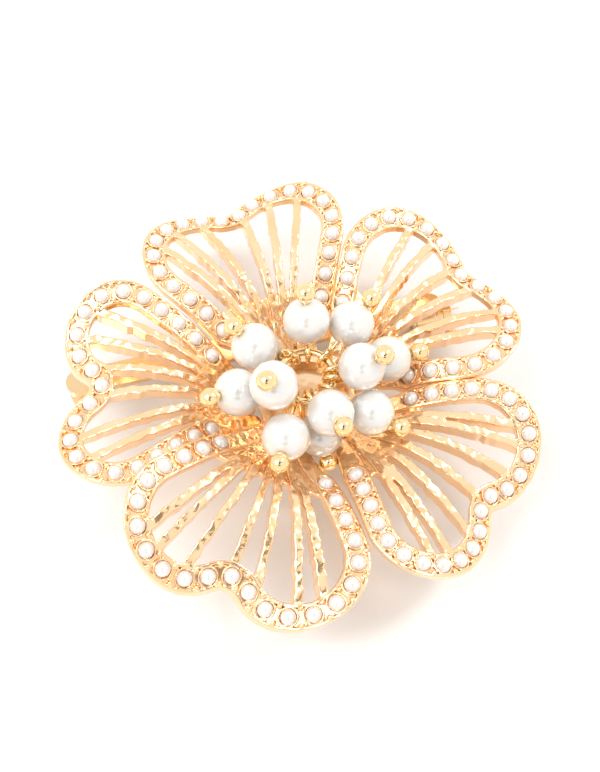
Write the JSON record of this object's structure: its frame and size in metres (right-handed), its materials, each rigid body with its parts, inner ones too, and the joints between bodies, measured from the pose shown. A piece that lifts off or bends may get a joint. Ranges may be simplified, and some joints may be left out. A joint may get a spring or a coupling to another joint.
{
  "type": "flower brooch",
  "caption": "Openwork flower brooch: heart-shaped ribbed petals with pearl-set rims round a cluster of pearl drops, with a bar pin and safety catch on the back",
  "frame": {"origin": "on the flower's axis, in the plane of the back pad's flat face, which lies against the cloth", "axes": "+Z towards the front of the brooch, +Y towards its upper edge as worn, +X to the right as seen from the front"},
  "size_m": [0.0638, 0.0641, 0.0277],
  "materials": {
    "cast_gold": "bright light gold plate over a hammered casting",
    "gold_wire": "polished light gold plate",
    "pin_metal": "polished light gold plate",
    "pearl": "soft pearl lustre",
    "rim_pearl": "soft pearl lustre"
  },
  "bodies": {
    "flower": {"petal_front_right": "cast_gold", "petal_back_right": "cast_gold", "petal_back_left": "cast_gold", "petal_left": "cast_gold", "petal_front_left": "cast_gold", "rim_pearls_front_right": "rim_pearl", "rim_pearls_back_right": "rim_pearl", "rim_pearls_back_left": "rim_pearl", "rim_pearls_left": "rim_pearl", "rim_pearls_front_left": "rim_pearl", "hub": "cast_gold", "cluster_ring": "gold_wire", "back_bar": "pin_metal", "hinge_ears": "pin_metal", "hinge_rivet": "pin_metal", "catch_housing": "pin_metal"},
    "drop_01": {"headpin_01": "gold_wire"},
    "bead_01": {"pearl_01": "pearl"},
    "drop_02": {"headpin_02": "gold_wire"},
    "bead_02": {"pearl_02": "pearl"},
    "drop_03": {"headpin_03": "gold_wire"},
    "bead_03": {"pearl_03": "pearl"},
    "drop_04": {"headpin_04": "gold_wire"},
    "bead_04": {"pearl_04": "pearl"},
    "drop_05": {"headpin_05": "gold_wire"},
    "bead_05": {"pearl_05": "pearl"},
    "drop_06": {"headpin_06": "gold_wire"},
    "bead_06": {"pearl_06": "pearl"},
    "drop_07": {"headpin_07": "gold_wire"},
    "bead_07": {"pearl_07": "pearl"},
    "drop_08": {"headpin_08": "gold_wire"},
    "bead_08": {"pearl_08": "pearl"},
    "drop_09": {"headpin_09": "gold_wire"},
    "bead_09": {"pearl_09": "pearl"},
    "drop_10": {"headpin_10": "gold_wire"},
    "bead_10": {"pearl_10": "pearl"},
    "drop_11": {"headpin_11": "gold_wire"},
    "bead_11": {"pearl_11": "pearl"},
    "drop_12": {"headpin_12": "gold_wire"},
    "bead_12": {"pearl_12": "pearl"},
    "stem": {"pin_stem": "pin_metal"},
    "sleeve": {"safety_sleeve": "pin_metal"}
  },
  "joints": [
    {"name": "drop_01_swing", "type": "hinge", "parent": "flower", "child": "drop_01", "pos_m": [0.00012, 0.0035, 0.0107], "axis": [0.9969, 0.0785, 0], "range_deg": [-12, 12]},
    {"name": "pearl_01_turn", "type": "hinge", "parent": "drop_01", "child": "bead_01", "pos_m": [-0.00005, 0.00568, 0.01519], "axis": [-0.0344, 0.437, 0.8988], "continuous": true},
    {"name": "drop_02_swing", "type": "hinge", "parent": "flower", "child": "drop_02", "pos_m": [0.00236, 0.00258, 0.0107], "axis": [0.7431, -0.6691, 0], "range_deg": [-12, 3]},
    {"name": "pearl_02_turn", "type": "hinge", "parent": "drop_02", "child": "bead_02", "pos_m": [0.00579, 0.00638, 0.01298], "axis": [0.6113, 0.6789, 0.4067], "continuous": true},
    {"name": "drop_03_swing", "type": "hinge", "parent": "flower", "child": "drop_03", "pos_m": [-0.00342, 0.00073, 0.0107], "axis": [0.4147, 0.91, 0], "range_deg": [-12, 12]},
    {"name": "pearl_03_turn", "type": "hinge", "parent": "drop_03", "child": "bead_03", "pos_m": [-0.00661, 0.00218, 0.01481], "axis": [-0.591, 0.2693, 0.7604], "continuous": true},
    {"name": "drop_04_swing", "type": "hinge", "parent": "flower", "child": "drop_04", "pos_m": [-0.0025, -0.00245, 0.0107], "axis": [-0.8572, 0.515, 0], "range_deg": [-2, 12]},
    {"name": "pearl_04_turn", "type": "hinge", "parent": "drop_04", "child": "bead_04", "pos_m": [-0.00394, -0.00486, 0.01841], "axis": [-0.1762, -0.2932, 0.9397], "continuous": true},
    {"name": "drop_05_swing", "type": "hinge", "parent": "flower", "child": "drop_05", "pos_m": [-0.00329, -0.0012, 0.0107], "axis": [-0.4617, 0.887, 0], "range_deg": [-12, 1.5]},
    {"name": "pearl_05_turn", "type": "hinge", "parent": "drop_05", "child": "bead_05", "pos_m": [-0.00861, -0.00397, 0.01431], "axis": [-0.7603, -0.3958, 0.515], "continuous": true},
    {"name": "drop_06_swing", "type": "hinge", "parent": "flower", "child": "drop_06", "pos_m": [-0.00148, -0.00317, 0.0107], "axis": [-0.9848, 0.1736, 0], "range_deg": [-12, 8]},
    {"name": "pearl_06_turn", "type": "hinge", "parent": "drop_06", "child": "bead_06", "pos_m": [-0.0026, -0.00952, 0.01317], "axis": [-0.1621, -0.9194, 0.3584], "continuous": true},
    {"name": "drop_07_swing", "type": "hinge", "parent": "flower", "child": "drop_07", "pos_m": [0.00128, -0.00326, 0.0107], "axis": [-0.891, -0.454, 0], "range_deg": [-5, 12]},
    {"name": "pearl_07_turn", "type": "hinge", "parent": "drop_07", "child": "bead_07", "pos_m": [0.00293, -0.00649, 0.01369], "axis": [0.3503, -0.6875, 0.6361], "continuous": true},
    {"name": "drop_08_swing", "type": "hinge", "parent": "flower", "child": "drop_08", "pos_m": [0.00344, -0.00067, 0.0107], "axis": [-0.0087, -1, 0], "range_deg": [-2, 12]},
    {"name": "pearl_08_turn", "type": "hinge", "parent": "drop_08", "child": "bead_08", "pos_m": [0.0069, -0.0007, 0.01497], "axis": [0.6293, -0.0055, 0.7771], "continuous": true},
    {"name": "drop_09_swing", "type": "hinge", "parent": "flower", "child": "drop_09", "pos_m": [0.00344, 0.00064, 0.0107], "axis": [0.2334, -0.9724, 0], "range_deg": [-1, 2]},
    {"name": "pearl_09_turn", "type": "hinge", "parent": "drop_09", "child": "bead_09", "pos_m": [0.01063, 0.00236, 0.01089], "axis": [0.972, 0.2334, 0.0262], "continuous": true},
    {"name": "drop_10_swing", "type": "hinge", "parent": "flower", "child": "drop_10", "pos_m": [0.00276, -0.00215, 0.0107], "axis": [-0.4695, -0.8829, 0], "range_deg": [-1, 2]},
    {"name": "pearl_10_turn", "type": "hinge", "parent": "drop_10", "child": "bead_10", "pos_m": [0.00823, -0.00507, 0.01059], "axis": [0.8828, -0.4694, -0.0175], "continuous": true},
    {"name": "drop_11_swing", "type": "hinge", "parent": "flower", "child": "drop_11", "pos_m": [0.00037, -0.00348, 0.0107], "axis": [-0.9272, -0.3746, 0], "range_deg": [-4, 6]},
    {"name": "pearl_11_turn", "type": "hinge", "parent": "drop_11", "child": "bead_11", "pos_m": [0.00168, -0.00672, 0.00727], "axis": [0.2672, -0.6613, -0.7009], "continuous": true},
    {"name": "drop_12_swing", "type": "hinge", "parent": "flower", "child": "drop_12", "pos_m": [-0.00215, 0.00276, 0.0107], "axis": [0.3907, 0.9205, 0], "range_deg": [-4, 10]},
    {"name": "pearl_12_turn", "type": "hinge", "parent": "drop_12", "child": "bead_12", "pos_m": [-0.00565, 0.00424, 0.00794], "axis": [-0.7447, 0.3161, -0.5878], "continuous": true},
    {"name": "pin_open", "type": "hinge", "parent": "flower", "child": "stem", "pos_m": [-0.03184, 0.00371, -0.0022], "axis": [-0.2419, 0.9703, 0], "range_deg": [0, 70]},
    {"name": "sleeve_turn", "type": "hinge", "parent": "flower", "child": "sleeve", "pos_m": [0.01764, 0.01604, -0.0022], "axis": [-0.9703, -0.2419, 0], "range_deg": [0, 110]}
  ]
}
